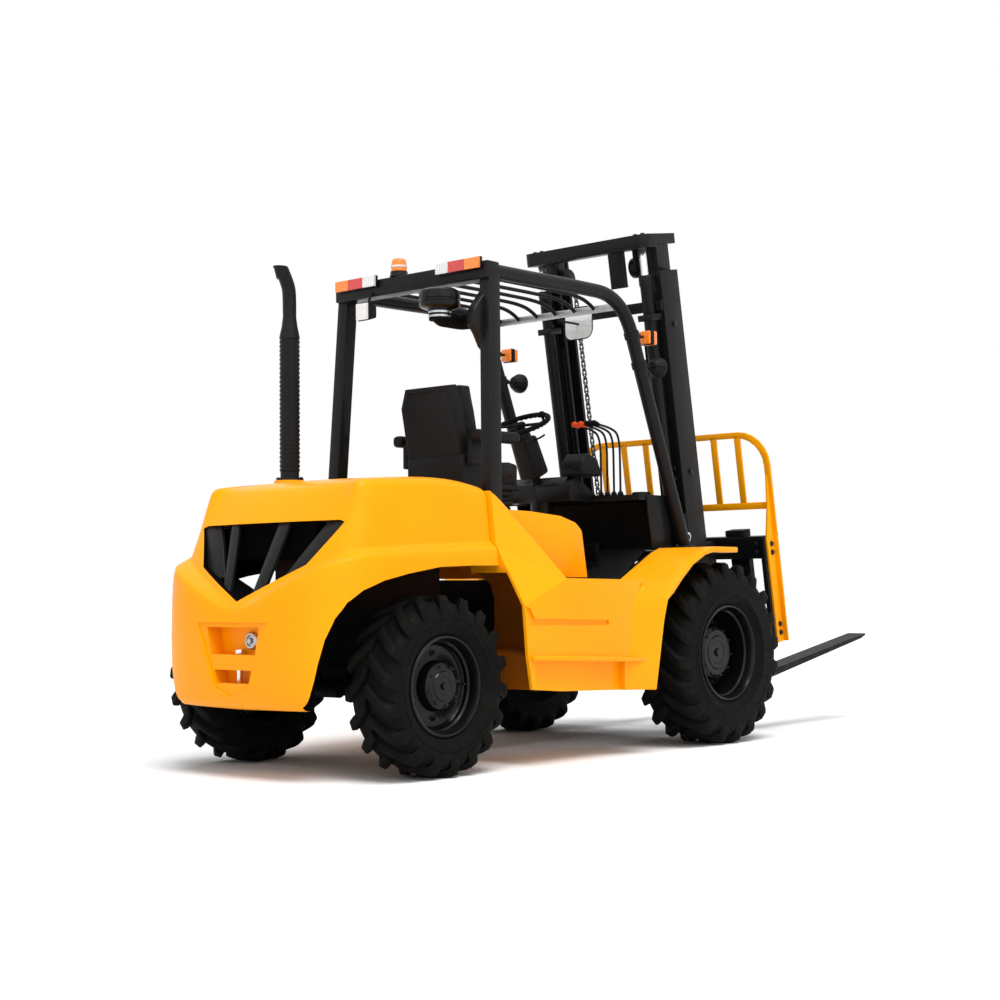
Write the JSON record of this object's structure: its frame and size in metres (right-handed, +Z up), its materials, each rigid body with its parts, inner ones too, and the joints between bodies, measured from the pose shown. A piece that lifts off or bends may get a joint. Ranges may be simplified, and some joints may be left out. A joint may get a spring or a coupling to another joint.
{
  "type": "rough terrain forklift",
  "caption": "Rough terrain counterbalance forklift with lugged tyres, a two-stage tilting mast, forks, an overhead guard, rear steering and a hood that tips up with the seat.",
  "frame": {"origin": "on the ground, under the middle of the overall length and width", "axes": "+X forward towards the forks, +Y to the truck's left, +Z up"},
  "size_m": [4.8386, 1.692, 2.8489],
  "materials": {
    "yellow_enamel": "gloss",
    "black_paint": "satin",
    "cast_yellow": "gloss",
    "dark_casting": "satin",
    "tyre_rubber": "matte",
    "rim_paint": "satin",
    "seat_vinyl": "satin",
    "black_plastic": "matte",
    "lamp_plastic": "gloss",
    "lamp_glass": "gloss",
    "bright_rod": "polished",
    "chain_steel": "oiled",
    "fork_steel": "worn satin",
    "mirror_glass": "polished",
    "steel_pin": "bare"
  },
  "bodies": {
    "chassis": {"chassis_frame": "black_paint", "rear_axle": "dark_casting", "front_axle": "dark_casting", "counterweight": "cast_yellow", "tow_pin": "steel_pin", "grille_slats": "black_paint", "side_panel_left": "yellow_enamel", "side_panel_right": "yellow_enamel", "engine_block": "dark_casting", "radiator": "black_paint", "transmission": "dark_casting", "floor_plate": "black_paint", "front_cowl": "black_plastic", "cowl_cheeks": "black_paint", "steering_column": "black_plastic", "control_levers": "black_plastic", "overhead_guard": "black_paint", "signal_lamps": "lamp_plastic", "beacon": "lamp_plastic", "work_lamps": "lamp_glass", "mirror": "mirror_glass", "exhaust_stack": "black_paint", "air_cleaner": "black_plastic"},
    "hood": {"hood": "yellow_enamel", "seat_frame": "black_plastic", "seat_cushion": "seat_vinyl", "seat_back": "seat_vinyl"},
    "steering_wheel": {"steering_wheel": "black_plastic"},
    "mast_outer": {"mast_outer": "black_paint", "lift_cylinders": "black_paint"},
    "mast_inner": {"mast_inner": "black_paint", "lift_rods": "bright_rod"},
    "carriage": {"carriage": "black_paint", "load_backrest": "yellow_enamel", "lift_chains": "chain_steel"},
    "fork_left": {"fork_left": "fork_steel"},
    "fork_right": {"fork_right": "fork_steel"},
    "knuckle_left": {"knuckle_left": "dark_casting"},
    "wheel_front_left": {"tyre_front_left": "tyre_rubber", "rim_front_left": "rim_paint"},
    "wheel_rear_left": {"tyre_rear_left": "tyre_rubber", "rim_rear_left": "rim_paint"},
    "tilt_barrel_left": {"tilt_cylinder_left": "black_paint"},
    "tilt_rod_left": {"tilt_rod_left": "bright_rod"},
    "knuckle_right": {"knuckle_right": "dark_casting"},
    "wheel_front_right": {"tyre_front_right": "tyre_rubber", "rim_front_right": "rim_paint"},
    "wheel_rear_right": {"tyre_rear_right": "tyre_rubber", "rim_rear_right": "rim_paint"},
    "tilt_barrel_right": {"tilt_cylinder_right": "black_paint"},
    "tilt_rod_right": {"tilt_rod_right": "bright_rod"}
  },
  "joints": [
    {"name": "steer_left", "type": "hinge", "parent": "chassis", "child": "knuckle_left", "pos_m": [-1.77426, 0.47, 0.41], "axis": [0, 0, 1], "range_deg": [-35, 35]},
    {"name": "roll_rear_left", "type": "hinge", "parent": "knuckle_left", "child": "wheel_rear_left", "pos_m": [-1.77426, 0.615, 0.41], "axis": [0, 1, 0], "continuous": true},
    {"name": "roll_front_left", "type": "hinge", "parent": "chassis", "child": "wheel_front_left", "pos_m": [0.36973, 0.681, 0.49], "axis": [0, 1, 0], "continuous": true},
    {"name": "fork_shift_left", "type": "slide", "parent": "carriage", "child": "fork_left", "axis": [0, 1, 0], "range_m": [-0.33, 0.14]},
    {"name": "tilt_barrel_swing_left", "type": "hinge", "parent": "chassis", "child": "tilt_barrel_left", "pos_m": [-0.13426, 0.448, 0.64], "axis": [0, 1, 0], "range_deg": [-1, 9.2]},
    {"name": "tilt_rod_slide_left", "type": "slide", "parent": "tilt_barrel_left", "child": "tilt_rod_left", "axis": [0.8, 0, 0.6], "range_m": [-0.021, 0.198]},
    {"name": "steer_right", "type": "hinge", "parent": "chassis", "child": "knuckle_right", "pos_m": [-1.77426, -0.47, 0.41], "axis": [0, 0, 1], "range_deg": [-35, 35]},
    {"name": "roll_rear_right", "type": "hinge", "parent": "knuckle_right", "child": "wheel_rear_right", "pos_m": [-1.77426, -0.615, 0.41], "axis": [0, 1, 0], "continuous": true},
    {"name": "roll_front_right", "type": "hinge", "parent": "chassis", "child": "wheel_front_right", "pos_m": [0.36973, -0.681, 0.49], "axis": [0, 1, 0], "continuous": true},
    {"name": "fork_shift_right", "type": "slide", "parent": "carriage", "child": "fork_right", "axis": [0, -1, 0], "range_m": [-0.33, 0.14]},
    {"name": "tilt_barrel_swing_right", "type": "hinge", "parent": "chassis", "child": "tilt_barrel_right", "pos_m": [-0.13426, -0.448, 0.64], "axis": [0, 1, 0], "range_deg": [-1, 9.2]},
    {"name": "tilt_rod_slide_right", "type": "slide", "parent": "tilt_barrel_right", "child": "tilt_rod_right", "axis": [0.8, 0, 0.6], "range_m": [-0.021, 0.198]},
    {"name": "mast_tilt", "type": "hinge", "parent": "chassis", "child": "mast_outer", "pos_m": [0.58974, 0, 0.429], "axis": [0, 1, 0], "range_deg": [-2, 19.5]},
    {"name": "mast_lift", "type": "slide", "parent": "mast_outer", "child": "mast_inner", "axis": [-0.165, 0, 0.9863], "range_m": [-0.14, 1.36]},
    {"name": "carriage_lift", "type": "slide", "parent": "mast_inner", "child": "carriage", "axis": [-0.165, 0, 0.9863], "range_m": [-0.14, 1.36], "deforming": ["lift_chains"]},
    {"name": "hood_open", "type": "hinge", "parent": "chassis", "child": "hood", "pos_m": [-1.29926, 0, 1.225], "axis": [0, -1, 0], "range_deg": [0, 30]},
    {"name": "steering_turn", "type": "hinge", "parent": "chassis", "child": "steering_wheel", "pos_m": [-0.25927, 0.12, 1.745], "axis": [-0.4226, 0, 0.9063], "continuous": true}
  ],
  "couplings": [
    {"joint": "steer_right", "follows": "steer_left", "ratio": 1},
    {"joint": "carriage_lift", "follows": "mast_lift", "ratio": 1},
    {"joint": "tilt_barrel_swing_left", "follows": "mast_tilt", "ratio": 0.45},
    {"joint": "tilt_rod_slide_left", "follows": "mast_tilt", "m_per_rad": 0.572},
    {"joint": "tilt_barrel_swing_right", "follows": "mast_tilt", "ratio": 0.45},
    {"joint": "tilt_rod_slide_right", "follows": "mast_tilt", "m_per_rad": 0.572}
  ]
}
